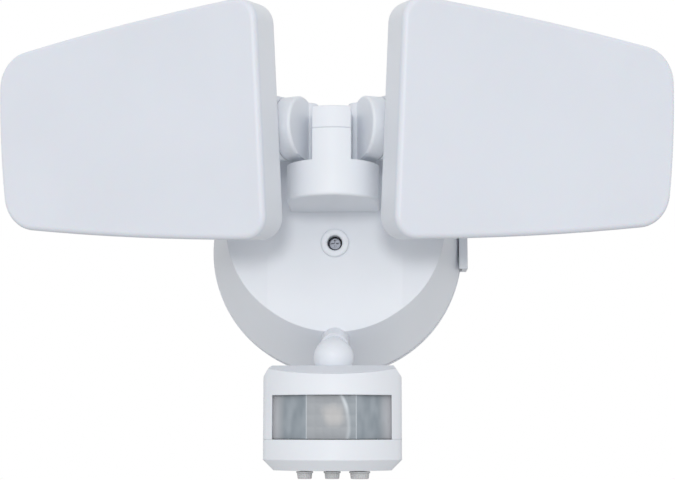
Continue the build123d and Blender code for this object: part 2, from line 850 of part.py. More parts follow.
side_slope = (3.6, 5.3)     # width and height of the slopes along the top's two sides
front_slope_start = 64.0    # the top falls towards the front from here
front_slope_angle = 13.0
back_slope = 5.4
ceiling_inset = 9.4
ceiling_thickness = 3.4
cup_radius = 12.0
cup_cover = 0.5             # the cup's top lies this far under the shell's
floor_height = sensor_bottom - sensor_wall
sensor_screw_places = [(-22, -42), (22, -42)]
sensor_screw_radius = 1.5
sensor_screw_head = (2.7, 2.0)         # radius and height
sensor_screw_recess = (2.8, 2.4)
sensor_screw_reach = 5.0    # into the upper shell
screw_post_radius = 3.2

with BuildPart() as sensor_upper_shell:
    with BuildSketch(Plane.XY.offset(-sensor_split)):
        add(sensor_face())
    extrude(amount=sensor_split - sensor_top)
    for side in (-1, 1):
        with BuildSketch(wall_plane(0)):
            Polygon(
                (side * (sensor_half_width - side_slope[0]), -sensor_top),
                (side * sensor_half_width, -sensor_top - side_slope[1]),
                (side * sensor_half_width, -sensor_top),
                align=None,
            )
        extrude(amount=sensor_front, mode=Mode.SUBTRACT)
    slope_length = sensor_front - front_slope_start
    with BuildSketch(Plane.YZ.offset(-sensor_half_width)):
        Polygon(
            (-front_slope_start, -sensor_top),
            (-sensor_front, -sensor_top),
            (-sensor_front, -sensor_top - slope_length * tan(radians(front_slope_angle))),
            align=None,
        )
        Polygon(
            (-sensor_back, -sensor_top),
            (-sensor_back - back_slope, -sensor_top),
            (-sensor_back, -sensor_top - back_slope),
            align=None,
        )
    extrude(amount=2 * sensor_half_width, mode=Mode.SUBTRACT)
    with BuildSketch(Plane.XY.offset(-sensor_split)):
        add(sensor_face(sensor_wall))
    extrude(amount=sensor_split - sensor_top - side_slope[1], mode=Mode.SUBTRACT)
    with BuildSketch(Plane.XY.offset(-sensor_top - side_slope[1])):
        add(sensor_face(ceiling_inset))
    extrude(amount=side_slope[1] - ceiling_thickness, mode=Mode.SUBTRACT)
    with BuildSketch(Plane(origin=(0, ball_centre[1], -sensor_top - cup_cover))):
        Circle(cup_radius)
    extrude(amount=-(cup_bottom - ball_centre[2] - sensor_top - cup_cover))
    with BuildSketch(Plane.XY.offset(-sensor_split)):
        with Locations(*sensor_screw_places):
            Circle(screw_post_radius)
    extrude(amount=sensor_split - sensor_top - ceiling_thickness)
    add(ball_hollow(ball_radius + cup_gap), mode=Mode.SUBTRACT)
    with BuildSketch(ball_plane):
        Circle(bolt_radius + running_gap)
    extrude(amount=-cup_bottom, mode=Mode.SUBTRACT)
    with BuildSketch(Plane.XY.offset(-sensor_split)):
        with Locations((0, -sensor_front)):
            Rectangle(2 * window_half_width, 2 * (sensor_front - window_back))
    extrude(amount=sensor_split - window_top, mode=Mode.SUBTRACT)
    with BuildSketch(Plane.XY.offset(-sensor_split)):
        with Locations(*sensor_screw_places):
            Circle(sensor_screw_radius)
    extrude(amount=sensor_screw_reach, mode=Mode.SUBTRACT)
finish(sensor_upper_shell, "sensor_upper_shell")

knob_places = [(-knob_spacing, -knob_row), (0, -knob_row), (knob_spacing, -knob_row)]
knob_radii = (3.1, 3.1, 4.0)
knob_stem_radius = 2.0
knob_clearance = 0.3
floor_inset = 4.2
seal_inset = 2.5
seal_width = 1.2
seal_thickness = 1.2

with BuildPart() as sensor_lower_shell:
    with BuildSketch(Plane.XY.offset(-sensor_bottom)):
        add(sensor_face())
    extrude(amount=sensor_bottom - sensor_split)
    chamfer(sensor_lower_shell.faces().sort_by(Axis.Z)[0].edges(), sensor_bottom - bevel_top)
    with BuildSketch(Plane.XY.offset(-floor_height)):
        add(sensor_face(floor_inset))
    extrude(amount=floor_height - sensor_split, mode=Mode.SUBTRACT)
    with BuildSketch(Plane.XY.offset(-floor_height)):
        with Locations(*sensor_screw_places):
            Circle(screw_post_radius)
    extrude(amount=floor_height - sensor_split)
    with BuildSketch(Plane.XY.offset(-sensor_split)):
        add(sensor_face(seal_inset))
        add(sensor_face(seal_inset + seal_width), mode=Mode.SUBTRACT)
    extrude(amount=-seal_thickness, mode=Mode.SUBTRACT)
    with BuildSketch(Plane.XY.offset(-sensor_bottom)):
        with Locations(*knob_places):
            Circle(knob_stem_radius + knob_clearance)
        with Locations(*sensor_screw_places):
            Circle(sensor_screw_radius)
    extrude(amount=sensor_bottom - sensor_split, mode=Mode.SUBTRACT)
    with BuildSketch(Plane.XY.offset(-sensor_bottom)):
        with Locations(*sensor_screw_places):
            Circle(sensor_screw_recess[0])
    extrude(amount=sensor_screw_recess[1], mode=Mode.SUBTRACT)
finish(sensor_lower_shell, "sensor_lower_shell")

with BuildPart() as sensor_screws:
    with BuildSketch(Plane.XY.offset(-sensor_bottom + sensor_screw_recess[1])):
        with Locations(*sensor_screw_places):
            Circle(sensor_screw_head[0])
    extrude(amount=-sensor_screw_head[1])
    with BuildSketch(Plane.XY.offset(-sensor_bottom + sensor_screw_recess[1])):
        with Locations(*sensor_screw_places):
            Circle(sensor_screw_radius)
    extrude(amount=sensor_bottom - sensor_screw_recess[1] - sensor_split + sensor_screw_reach)
    with BuildSketch(Plane.XY.offset(-sensor_bottom + sensor_screw_recess[1] - sensor_screw_head[1])):
        for place in sensor_screw_places:
            with Locations(place):
                add(cross_face(1.2 * sensor_screw_head[0]))
    extrude(amount=cross_depth, mode=Mode.SUBTRACT)
finish(sensor_screws, "sensor_screws")

lens_front = 78.7
lens_end_x = 27.2
lens_end_y = 68.0
lens_lap = 1.2              # how far the lens reaches up behind the shell
fresnel_thickness = 1.0
facet_mitre = 0.2
rest_gap = 0.3              # between pieces that rest on the lower shell's rim and the split

with BuildPart() as fresnel_lens:
    with BuildSketch(Plane.XY.offset(-sensor_split + rest_gap)):
        with BuildLine():
            Polyline(
                (-lens_end_x, -lens_end_y),
                (-facet_half_width, -lens_front),
                (facet_half_width, -lens_front),
                (lens_end_x, -lens_end_y),
                (lens_end_x, -lens_end_y + fresnel_thickness),
                (facet_half_width - facet_mitre, -lens_front + fresnel_thickness),
                (-facet_half_width + facet_mitre, -lens_front + fresnel_thickness),
                (-lens_end_x, -lens_end_y + fresnel_thickness),
                close=True,
            )
        make_face()
    extrude(amount=sensor_split - window_top + lens_lap)
finish(fresnel_lens, "fresnel_lens")

# a dark tray behind the lens, with side walls that taper towards the detector
shroud_back = 60.0
shroud_half_width = 13.0
shroud_end_x = lens_end_x - 0.6
shroud_end_y = lens_end_y - 1.6
shroud_thickness = 1.5
shroud_eye_radius = 5.0
detector_height = -(window_top + sensor_split) / 2

with BuildPart() as lens_shroud:
    with BuildSketch(Plane.XY.offset(-sensor_split + rest_gap)):
        with BuildLine():
            Polyline(
                (-shroud_end_x, -shroud_end_y),
                (-shroud_half_width, -shroud_back),
                (shroud_half_width, -shroud_back),
                (shroud_end_x, -shroud_end_y),
                (shroud_end_x, -shroud_end_y + shroud_thickness),
                (shroud_half_width, -shroud_back + shroud_thickness),
                (-shroud_half_width, -shroud_back + shroud_thickness),
                (-shroud_end_x, -shroud_end_y + shroud_thickness),
                close=True,
            )
        make_face()
    extrude(amount=sensor_split - window_top)
    with BuildSketch(wall_plane(shroud_back, detector_height)):
        Circle(shroud_eye_radius)
    extrude(amount=-shroud_thickness, mode=Mode.SUBTRACT)
finish(lens_shroud, "lens_shroud")

sensor_board_face = 57.5
sensor_board_size = (40.0, 20.0)
sensor_board_corner = 1.5
detector_radius = 4.6
detector_depth = 4.2
detector_window = (4.0, 3.0, 0.2)      # width, height and depth
light_cell_place = (16.5, 4.0)
light_cell_radius = 2.4
light_cell_depth = 1.0

with BuildPart() as sensor_board:
    with BuildSketch(wall_plane(sensor_board_face, detector_height)):
        RectangleRounded(*sensor_board_size, sensor_board_corner)
    extrude(amount=-board_thickness)
finish(sensor_board, "sensor_board")

with BuildPart() as motion_detector:
    with BuildSketch(wall_plane(sensor_board_face, detector_height)):
        Circle(detector_radius)
    extrude(amount=detector_depth)
    fillet(motion_detector.faces().sort_by(Axis.Y)[0].edges(), detector_radius / 9)
    with BuildSketch(wall_plane(sensor_board_face + detector_depth, detector_height)):
        Rectangle(detector_window[0], detector_window[1])
    extrude(amount=detector_window[2])
finish(motion_detector, "motion_detector")

with BuildPart() as light_cell:
    with BuildSketch(wall_plane(sensor_board_face, detector_height)):
        with Locations(light_cell_place):
            Circle(light_cell_radius)
    extrude(amount=light_cell_depth)
finish(light_cell, "light_cell")

control_board_top = 94.5
control_board_size = (44.0, 26.0)
control_board_middle = 58.0
pot_size = 6.6
pot_height = 3.6
pot_clearance = 0.1

with BuildPart() as control_board:
    with BuildSketch(Plane.XY.offset(-control_board_top)):
        with Locations((0, -control_board_middle)):
            RectangleRounded(*control_board_size, board_corner)
    extrude(amount=-board_thickness)
finish(control_board, "control_board")

with BuildPart() as dial_pots:
    for place in knob_places:
        with BuildSketch(Plane.XY.offset(-control_board_top - board_thickness)):
            with Locations(place):
                Rectangle(pot_size, pot_size)
                Circle(knob_stem_radius + pot_clearance, mode=Mode.SUBTRACT)
        extrude(amount=-pot_height)
finish(dial_pots, "dial_pots")


knob_top = sensor_bottom + 0.4
flange_lip = 0.6            # how far the flange stands out past the grip
flange_height = 0.7
knob_taper = 6.0
knob_stem_top = control_board_top + 2.0
knob_slot = (0.9, 4.2, 0.8)            # width, length and depth


def dial_knob(place, radius, name):
    """A small adjusting knob: a stem up through the floor, a flange and a grip below it."""
    with BuildPart() as knob:
        with BuildSketch(Plane.XY.offset(-knob_top)):
            with Locations(place):
                Circle(radius + flange_lip)
        extrude(amount=-flange_height)
        with BuildSketch(Plane.XY.offset(-knob_top - flange_height)):
            with Locations(place):
                Circle(radius)
        extrude(amount=-(knob_bottom - knob_top - flange_height), taper=knob_taper)
        with BuildSketch(Plane.XY.offset(-knob_top)):
            with Locations(place):
                Circle(knob_stem_radius)
        extrude(amount=knob_top - knob_stem_top)
        with BuildSketch(Plane.XY.offset(-knob_bottom)):
            with Locations(place):
                Rectangle(knob_slot[0], knob_slot[1])
        extrude(amount=knob_slot[2], mode=Mode.SUBTRACT)
    finish(knob, name)


knob_names = ("time_knob", "range_knob", "light_level_knob")
for knob_place, knob_radius, knob_name in zip(knob_places, knob_radii, knob_names):
    dial_knob(knob_place, knob_radius, knob_name)

with BuildPart() as sensor_seal:
    with BuildSketch(Plane.XY.offset(-sensor_split)):
        add(sensor_face(seal_inset))
        add(sensor_face(seal_inset + seal_width), mode=Mode.SUBTRACT)
    extrude(amount=-seal_thickness)
finish(sensor_seal, "sensor_seal")
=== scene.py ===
import json
import math
import bmesh
import bpy
from mathutils import Matrix, Vector


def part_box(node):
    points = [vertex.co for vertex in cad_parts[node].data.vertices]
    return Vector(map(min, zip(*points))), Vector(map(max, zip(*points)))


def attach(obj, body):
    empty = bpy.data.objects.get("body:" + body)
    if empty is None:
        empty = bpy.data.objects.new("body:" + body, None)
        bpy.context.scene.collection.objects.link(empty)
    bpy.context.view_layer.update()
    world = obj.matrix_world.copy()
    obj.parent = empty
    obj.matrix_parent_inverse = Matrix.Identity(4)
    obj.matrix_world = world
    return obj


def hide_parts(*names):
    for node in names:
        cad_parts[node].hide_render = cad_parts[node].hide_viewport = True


# A wall light with two wide lamp heads, a round canopy and a movement sensor below it.
# Metres. +X is right for a person facing the wall, +Z is up, the wall is the plane y = 0.

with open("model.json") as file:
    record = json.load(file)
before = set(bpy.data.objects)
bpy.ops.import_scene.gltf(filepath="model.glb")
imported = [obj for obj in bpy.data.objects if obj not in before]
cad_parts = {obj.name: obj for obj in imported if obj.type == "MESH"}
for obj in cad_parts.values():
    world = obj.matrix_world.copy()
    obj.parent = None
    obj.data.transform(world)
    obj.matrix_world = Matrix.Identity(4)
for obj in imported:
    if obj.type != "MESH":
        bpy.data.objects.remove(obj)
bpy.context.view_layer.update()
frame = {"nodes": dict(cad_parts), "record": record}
nodes = frame["nodes"]
print("frame loaded:", len(nodes), "nodes")

# the camera stands a little below the light and a little to its right, as in the photograph

photoView = {
    "width": 675,              # pixels
    "pixelsPerMetre": 2027,    # at the target
    "distance": 0.7,
    "azimuth": 2.0,            # degrees
    "elevation": -7.5,
    "target": Vector((-0.00005, 0.0, 0.00632)),
    "sensorWidth": 36.0,       # millimetres
    "nearClip": 0.01,
    "farClip": 50.0,
}


def directionTo(azimuth, elevation):
    # degrees; azimuth 0 is straight in front of the light and grows towards +X
    azimuth, elevation = math.radians(azimuth), math.radians(elevation)
    return Vector((
        math.sin(azimuth) * math.cos(elevation),
        -math.cos(azimuth) * math.cos(elevation),
        math.sin(elevation),
    ))


def setUp(thing, place, towards):
    # puts a camera or lamp in the scene, looking along a direction
    thing.location = place
    thing.rotation_mode = "QUATERNION"
    thing.rotation_quaternion = towards.to_track_quat("-Z", "Y")
    bpy.context.scene.collection.objects.link(thing)


def makeCamera(v):
    data = bpy.data.cameras.new("photoCamera")
    data.sensor_width = v["sensorWidth"]
    data.lens = v["pixelsPerMetre"] * v["distance"] * v["sensorWidth"] / v["width"]
    data.clip_start = v["nearClip"]
    data.clip_end = v["farClip"]
    camera = bpy.data.objects.new("photoCamera", data)
    back = directionTo(v["azimuth"], v["elevation"])
    setUp(camera, v["target"] + back * v["distance"], -back)
    bpy.context.scene.camera = camera


makeCamera(photoView)
print("camera placed")


class Wire:
    # one output socket; sums written with it add their own Math nodes
    def __init__(self, finish, socket):
        self.finish = finish
        self.socket = socket

    def maths(self, operation, *values):
        settings = {"operation": operation}
        return self.finish.add("ShaderNodeMath", settings, dict(enumerate(values)))

    def __add__(self, other):
        return self.maths("ADD", self, other)

    def __radd__(self, other):
        return self.maths("ADD", other, self)

    def __sub__(self, other):
        return self.maths("SUBTRACT", self, other)

    def __rsub__(self, other):
        return self.maths("SUBTRACT", other, self)

    def __mul__(self, other):
        return self.maths("MULTIPLY", self, other)

    def __rmul__(self, other):
        return self.maths("MULTIPLY", other, self)

    def __abs__(self):
        return self.maths("ABSOLUTE", self)

    def largest(self, other):
        return self.maths("MAXIMUM", self, other)

    def smooth(self, low, high):
        # 0 below low, 1 above high, with soft ends
        settings = {"interpolation_type": "SMOOTHSTEP"}
        return self.finish.add("ShaderNodeMapRange", settings, {0: self, 1: low, 2: high})

    def swing(self, amount):
        # a noise as a change either side of nothing
        return (self - 0.5) * amount


class Finish:
    # the nodes of one material, or of the world
    def __init__(self, owner):
        owner.use_nodes = True
        self.owner = owner
        self.tree = owner.node_tree
        self.tree.nodes.clear()

    def add(self, kind, settings=None, sockets=None, output=0):
        node = self.tree.nodes.new(kind)
        for key, value in (settings or {}).items():
            setattr(node, key, value)
        for key, value in (sockets or {}).items():
            if isinstance(value, Wire):
                self.tree.links.new(value.socket, node.inputs[key])
            else:
                node.inputs[key].default_value = value
        return Wire(self, node.outputs[output]) if len(node.outputs) else None

    def place(self):
        # object coordinates, in metres
        return self.add("ShaderNodeTexCoord", None, None, "Object")

    def stretched(self, scale):
        # object coordinates, each times its own number
        return self.add("ShaderNodeMapping", None, {"Vector": self.place(), "Scale": scale})

    def noise(self, scale, detail=2.0, roughness=0.5, place=None):
        sockets = {
            "Vector": place or self.place(),
            "Scale": scale,
            "Detail": detail,
            "Roughness": roughness,
        }
        return self.add("ShaderNodeTexNoise", None, sockets)

    def blend(self, factor, first, second):
        # mixes two colours; 6 and 7 are a Mix node's colour sockets, 2 its colour output
        colours = [(*c, 1.0) if isinstance(c, tuple) else c for c in (first, second)]
        sockets = {0: factor, 6: colours[0], 7: colours[1]}
        return self.add("ShaderNodeMix", {"data_type": "RGBA"}, sockets, 2)

    def shades(self, factor, colour, shares):
        # runs from a darker to a paler share of one colour
        return self.blend(factor, tint(colour, shares[0]), tint(colour, shares[1]))

    def bump(self, height, look, normal=None):
        sockets = {
            "Height": height,
            "Strength": look["bumpStrength"],
            "Distance": look["bumpDepth"],
        }
        if normal:
            sockets["Normal"] = normal
        return self.add("ShaderNodeBump", None, sockets)

    def surface(self, sockets):
        # ends the material in a Principled shader
        shader = self.add("ShaderNodeBsdfPrincipled", None, sockets)
        self.add("ShaderNodeOutputMaterial", None, {"Surface": shader})
        return self.owner


def tint(colour, factor):
    return tuple(min(1.0, channel * factor) for channel in colour)


# white and grey mouldings: slow changes of tone, the fine grain of the mould, softened edges

plasticLook = {
    "flowPerMetre": 22,
    "flowSpan": (0.35, 0.65),
    "shades": (0.985, 1.01),   # shares of the colour
    "flowSheen": 0.08,         # how far the roughness swings with each noise
    "speckSheen": 0.06,
    "grainPerMetre": 2600,
    "speckPerMetre": 520,
    "speckShare": 0.3,         # of the bump; the grain has the rest
    "bumpStrength": 0.35,
    "bumpDepth": 0.00002,
    "edge": 0.0006,            # radius that sharp corners are softened by
    "edgeSamples": 6,
    "shader": {
        "IOR": 1.5,
        "Specular IOR Level": 0.35,
        "Subsurface Weight": 0.04,
        "Subsurface Scale": 0.002,
    },
}


def mouldedPlastic(name, colour, roughness, look=plasticLook):
    f = Finish(bpy.data.materials.new(name))
    flow = f.noise(look["flowPerMetre"])
    grain = f.noise(look["grainPerMetre"], detail=3.0, roughness=0.6)
    speck = f.noise(look["speckPerMetre"], detail=1.0)
    height = grain * (1 - look["speckShare"]) + speck * look["speckShare"]
    soft = f.add("ShaderNodeBevel", {"samples": look["edgeSamples"]}, {"Radius": look["edge"]})
    return f.surface({
        "Base Color": f.shades(flow.smooth(*look["flowSpan"]), colour, look["shades"]),
        "Roughness": roughness + flow.swing(look["flowSheen"]) + speck.swing(look["speckSheen"]),
        "Normal": f.bump(height, look, soft),
        **look["shader"],
    })


# the milky fronts of the lamp heads

diffuserLook = {
    "cloudPerMetre": 14,
    "cloudSpan": (0.3, 0.7),
    "shades": (0.985, 1.012),
    "cloudSheen": 0.05,
    "grainPerMetre": 1500,
    "grainSheen": 0.04,
    "bumpStrength": 0.15,
    "bumpDepth": 0.00001,
    "shader": {
        "IOR": 1.5,
        "Specular IOR Level": 0.35,
        "Subsurface Weight": 0.12,
        "Subsurface Scale": 0.004,
    },
}


def opalDiffuser(name, colour, roughness, look=diffuserLook):
    f = Finish(bpy.data.materials.new(name))
    cloud = f.noise(look["cloudPerMetre"], detail=3.0, roughness=0.55)
    grain = f.noise(look["grainPerMetre"])
    return f.surface({
        "Base Color": f.shades(cloud.smooth(*look["cloudSpan"]), colour, look["shades"]),
        "Roughness": roughness + cloud.swing(look["cloudSheen"]) + grain.swing(look["grainSheen"]),
        "Normal": f.bump(grain, look),
        **look["shader"],
    })


# black mouldings inside the sensor and black component bodies

darkLook = {
    "grainPerMetre": 2200,
    "grainSheen": 0.1,
    "flowPerMetre": 40,
    "shades": (0.8, 1.25),
    "bumpStrength": 0.5,
    "bumpDepth": 0.00002,
}


def darkMoulding(name, colour, roughness, look=darkLook):
    f = Finish(bpy.data.materials.new(name))
    grain = f.noise(look["grainPerMetre"])
    flow = f.noise(look["flowPerMetre"])
    return f.surface({
        "Base Color": f.shades(flow, colour, look["shades"]),
        "Roughness": roughness + grain.swing(look["grainSheen"]),
        "Normal": f.bump(grain, look),
    })


# foam and rubber seals, with open cells

rubberLook = {
    "cellsPerMetre": 1800,
    "flowPerMetre": 60,
    "shades": (0.85, 1.1),
    "bumpStrength": 0.6,
    "bumpDepth": 0.00006,
    "specular": 0.3,
}


def softRubber(name, colour, roughness, look=rubberLook):
    f = Finish(bpy.data.materials.new(name))
    cells = f.noise(look["cellsPerMetre"], detail=3.0, roughness=0.7)
    flow = f.noise(look["flowPerMetre"])
    return f.surface({
        "Base Color": f.shades(flow, colour, look["shades"]),
        "Roughness": roughness,
        "Normal": f.bump(cells, look),
        "Specular IOR Level": look["specular"],
    })


# bare and plated metal, brushed along x

steelLook = {
    "brushStretch": (30, 1200, 1200),
    "flowPerMetre": 90,
    "shades": (0.88, 1.08),
    "flowSheen": 0.1,
    "bumpShare": 0.2,          # of the streaks
    "bumpDepth": 0.00003,
}


def platedSteel(name, colour, roughness, streaks, look=steelLook):
    f = Finish(bpy.data.materials.new(name))
    brushed = f.noise(1.0, detail=4.0, roughness=0.6, place=f.stretched(look["brushStretch"]))
    flow = f.noise(look["flowPerMetre"], detail=3.0)
    bumpLook = {"bumpStrength": look["bumpShare"] * streaks, "bumpDepth": look["bumpDepth"]}
    return f.surface({
        "Base Color": f.shades(flow, colour, look["shades"]),
        "Roughness": roughness + brushed.swing(streaks) + flow.swing(look["flowSheen"]),
        "Normal": f.bump(brushed, bumpLook),
        "Metallic": 1.0,
    })


# the coloured head of the earth screw

enamelLook = {
    "peelPerMetre": 700,
    "flowPerMetre": 90,
    "shades": (0.8, 1.15),
    "flowSheen": 0.1,
    "bumpStrength": 0.25,
    "bumpDepth": 0.00003,
    "metallic": 0.3,
}


def enamel(name, colour, roughness, look=enamelLook):
    f = Finish(bpy.data.materials.new(name))
    peel = f.noise(look["peelPerMetre"])
    flow = f.noise(look["flowPerMetre"])
    return f.surface({
        "Base Color": f.shades(flow, colour, look["shades"]),
        "Roughness": roughness + flow.swing(look["flowSheen"]),
        "Normal": f.bump(peel, look),
        "Metallic": look["metallic"],
    })


# circuit boards: the gaps of a brick pattern are the copper traces under the mask

boardLook = {
    "tilesPerMetre": 180.0,    # a tile of the pattern is two bricks wide
    "brickOffset": 0.5,        # of a brick, from one row to the next
    "traceWidth": 0.03,        # of a tile
    "traceStrength": 0.6,
    "traceHeight": 0.5,
    "flowPerMetre": 120,
    "shades": (0.85, 1.1),
    "weavePerMetre": 1500,
    "weaveSheen": 0.1,
    "bumpStrength": 0.3,
    "bumpDepth": 0.00003,
}


def circuitBoard(name, mask, trace, roughness, look=boardLook):
    f = Finish(bpy.data.materials.new(name))
    bricks = {
        "Vector": f.place(),
        "Scale": look["tilesPerMetre"],
        "Mortar Size": look["traceWidth"],
    }
    lanes = f.add("ShaderNodeTexBrick", {"offset": look["brickOffset"]}, bricks, "Fac")
    flow = f.noise(look["flowPerMetre"])
    ground = f.shades(flow, mask, look["shades"])
    weave = f.noise(look["weavePerMetre"])
    return f.surface({
        "Base Color": f.blend(lanes * look["traceStrength"], ground, trace),
        "Roughness": roughness + weave.swing(look["weaveSheen"]),
        "Normal": f.bump(weave + lanes * look["traceHeight"], look),
    })


# the yellow coat on the lamp chips

phosphorLook = {
    "grainPerMetre": 2500,
    "grainSheen": 0.1,
    "shades": (0.85, 1.1),
    "bumpStrength": 0.3,
    "bumpDepth": 0.00002,
}


def phosphor(name, colour, roughness, look=phosphorLook):
    f = Finish(bpy.data.materials.new(name))
    grain = f.noise(look["grainPerMetre"], detail=3.0)
    return f.surface({
        "Base Color": f.shades(grain, colour, look["shades"]),
        "Roughness": roughness + grain.swing(look["grainSheen"]),
        "Normal": f.bump(grain, look),
    })


# the window's milky film: a pale detector and the dark tray show through it as soft patches

windowLook = {
    "side": (0.36, 0.40, 0.44),
    "patch": (0.26, 0.30, 0.335),
    "end": (0.62, 0.62, 0.64),
    "middle": (0.33, 0.35, 0.375),
    "spot": (0.53, 0.52, 0.515),
    "seam": (0.62, 0.67, 0.71),
    "cloudPerMetre": 210,
    "cloudStretch": (1.0, 1.0, 0.45),
    "cloudSpan": (0.25, 0.75),
    "wavePerMetre": 85,
    "endSpan": (0.019, 0.027),         # from the middle, where the film turns pale
    "facetHalf": 0.0108,               # half the middle facet's width
    "facetSoftness": 0.0003,
    "seamHalfWidth": 0.0003,
    "seamStrength": 0.8,
    "spotPlace": (0.0004, -0.0798),    # x and z
    "spotRadius": 0.0062,
    "spotWander": 0.006,
    "spotStrength": 0.75,
    "streakPlace": 0.0077,
    "streakHeight": -0.084,            # where it stands furthest out
    "streakBow": 26.0,                 # per metre; both ends bend towards the middle
    "streakWander": 0.003,
    "streakHalfWidth": 0.0014,
    "streakStrength": 0.4,
    "streakTop": 0.5,                  # more strength at the top
    "streakTopSpan": (0.003, 0.010),
    "shadowSpan": (0.0, 0.0006),       # the darker strip right of the streak
    "shadowStrength": 0.7,
    "grainPerMetre": 1200,
    "grainSheen": 0.06,
    "bumpStrength": 0.3,
    "bumpDepth": 0.0003,
}


def windowFilm(name, roughness, specular, look=windowLook):
    f = Finish(bpy.data.materials.new(name))
    place = f.place()
    x, z = (f.add("ShaderNodeSeparateXYZ", None, {"Vector": place}, axis) for axis in "XZ")
    cloud = f.noise(look["cloudPerMetre"], detail=1.0, place=f.stretched(look["cloudStretch"]))
    wave = f.noise(look["wavePerMetre"], detail=1.0)
    side = f.blend(cloud.smooth(*look["cloudSpan"]), look["patch"], look["side"])
    side = f.blend(abs(x).smooth(*look["endSpan"]), side, look["end"])
    facet, softness = look["facetHalf"], look["facetSoftness"]
    inMiddle = 1 - abs(x).smooth(facet - softness, facet + softness)
    base = f.blend(inMiddle, side, look["middle"])

    acrossSpot = x - look["spotPlace"][0] + cloud.swing(look["spotWander"])
    upSpot = z - look["spotPlace"][1] + wave.swing(look["spotWander"])
    distance = acrossSpot * acrossSpot + upSpot * upSpot
    spot = 1 - distance.smooth(0.0, look["spotRadius"] * look["spotRadius"])
    base = f.blend(spot * look["spotStrength"], base, look["spot"])

    height = z - look["streakHeight"]
    bow = height * height * look["streakBow"]
    across = x - look["streakPlace"] + bow + wave.swing(look["streakWander"])
    shadow = across.smooth(*look["shadowSpan"]) * inMiddle
    base = f.blend(shadow * look["shadowStrength"], base, look["patch"])
    streak = 1 - abs(across).smooth(0.0, look["streakHalfWidth"])
    strength = height.smooth(*look["streakTopSpan"]) * look["streakTop"] + look["streakStrength"]
    base = f.blend(streak * strength, base, look["seam"])

    seam = 1 - abs(abs(x) - facet).smooth(0.0, look["seamHalfWidth"])
    grain = f.noise(look["grainPerMetre"])
    return f.surface({
        "Base Color": f.blend(seam * look["seamStrength"], base, look["seam"]),
        "Roughness": roughness + grain.swing(look["grainSheen"]),
        "Specular IOR Level": specular,
        "Normal": f.bump(wave, look),
    })


slotFinish = {
    "white_shell": mouldedPlastic("whiteShell", (0.785, 0.815, 0.865), roughness=0.42),
    "diffuser": opalDiffuser("opalDiffuser", (0.75, 0.78, 0.85), roughness=0.36),
    "sensor_window": windowFilm("sensorWindow", roughness=0.24, specular=0.15),
    "dark_plastic": darkMoulding("darkPlastic", (0.05, 0.05, 0.055), roughness=0.55),
    "knob": mouldedPlastic("knobPlastic", (0.57, 0.58, 0.59), roughness=0.45),
    "seal": softRubber("blackSeal", (0.03, 0.03, 0.033), roughness=0.75),
    "white_foam": softRubber("whiteFoam", (0.72, 0.72, 0.73), roughness=0.85),
    "zinc_steel": platedSteel("zincSteel", (0.62, 0.64, 0.66), roughness=0.38, streaks=0.3),
    "bright_screw": platedSteel("brightScrew", (0.15, 0.16, 0.185), roughness=0.42, streaks=0.1),
    "green_steel": enamel("greenScrew", (0.05, 0.28, 0.09), roughness=0.35),
    "spreader": platedSteel("aluminiumSheet", (0.80, 0.81, 0.82), roughness=0.42, streaks=0.4),
    "board": circuitBoard("greenBoard", (0.02, 0.13, 0.05), (0.05, 0.25, 0.09), roughness=0.38),
    "white_board": circuitBoard("whiteBoard", (0.78, 0.78, 0.76), (0.70, 0.70, 0.66),
                                roughness=0.38),
    "chip": phosphor("ledPhosphor", (0.85, 0.62, 0.12), roughness=0.45),
    "parts_black": darkMoulding("componentBlack", (0.03, 0.03, 0.032), roughness=0.4),
    "metal_can": platedSteel("metalCan", (0.62, 0.58, 0.48), roughness=0.3, streaks=0.1),
}

slotOfNode = {s["node"]: s["material_slot"] for s in frame["record"]["subparts"]}
for nodeName, nodeObject in nodes.items():
    nodeObject.data.materials.clear()
    nodeObject.data.materials.append(slotFinish[slotOfNode[nodeName]])
print("materials made")

weldDistance = 0.000001        # points nearer than this are one


def newPiece(name, bm, body, slotName, *replaced):
    # turns a finished bmesh into a piece that rides on a body
    mesh = bpy.data.meshes.new(name)
    bmesh.ops.remove_doubles(bm, verts=bm.verts, dist=weldDistance)
    bmesh.ops.recalc_face_normals(bm, faces=bm.faces)
    bm.to_mesh(mesh)
    bm.free()
    mesh.materials.append(slotFinish[slotName])
    piece = bpy.data.objects.new(name, mesh)
    bpy.context.scene.collection.objects.link(piece)
    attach(piece, body)
    if replaced:
        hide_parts(*replaced)
    return piece


def smoothShade(piece, degrees):
    # rounds the look of corners shallower than this and keeps the others sharp
    for face in piece.data.polygons:
        face.use_smooth = True
    piece.data.set_sharp_from_angle(angle=math.radians(degrees))


def cutAcross(bm, places, axis):
    # splits the faces of a bmesh along planes square to an axis: 0 is x, 1 is y, 2 is z
    normal = Vector((0, 0, 0))
    normal[axis] = 1.0
    for place in places:
        geometry = list(bm.verts) + list(bm.edges) + list(bm.faces)
        bmesh.ops.bisect_plane(bm, geom=geometry, plane_co=normal * place, plane_no=normal)


def pick(made, kind):
    # the verts or edges among what an operator made
    return [item for item in made["geom"] if isinstance(item, kind)]


# the window: three flat facets, each pressed into rows of small lenses

windowShape = {
    "thickness": 0.0010,
    "sideColumns": 5,
    "middleColumns": 6,
    "rows": 4,
    "border": 0.00012,         # flat seam round each small lens
    "slope": 0.00036,          # then the width over which it rises
    "rise": 0.000015,
    "smoothBelow": 20,         # degrees
}


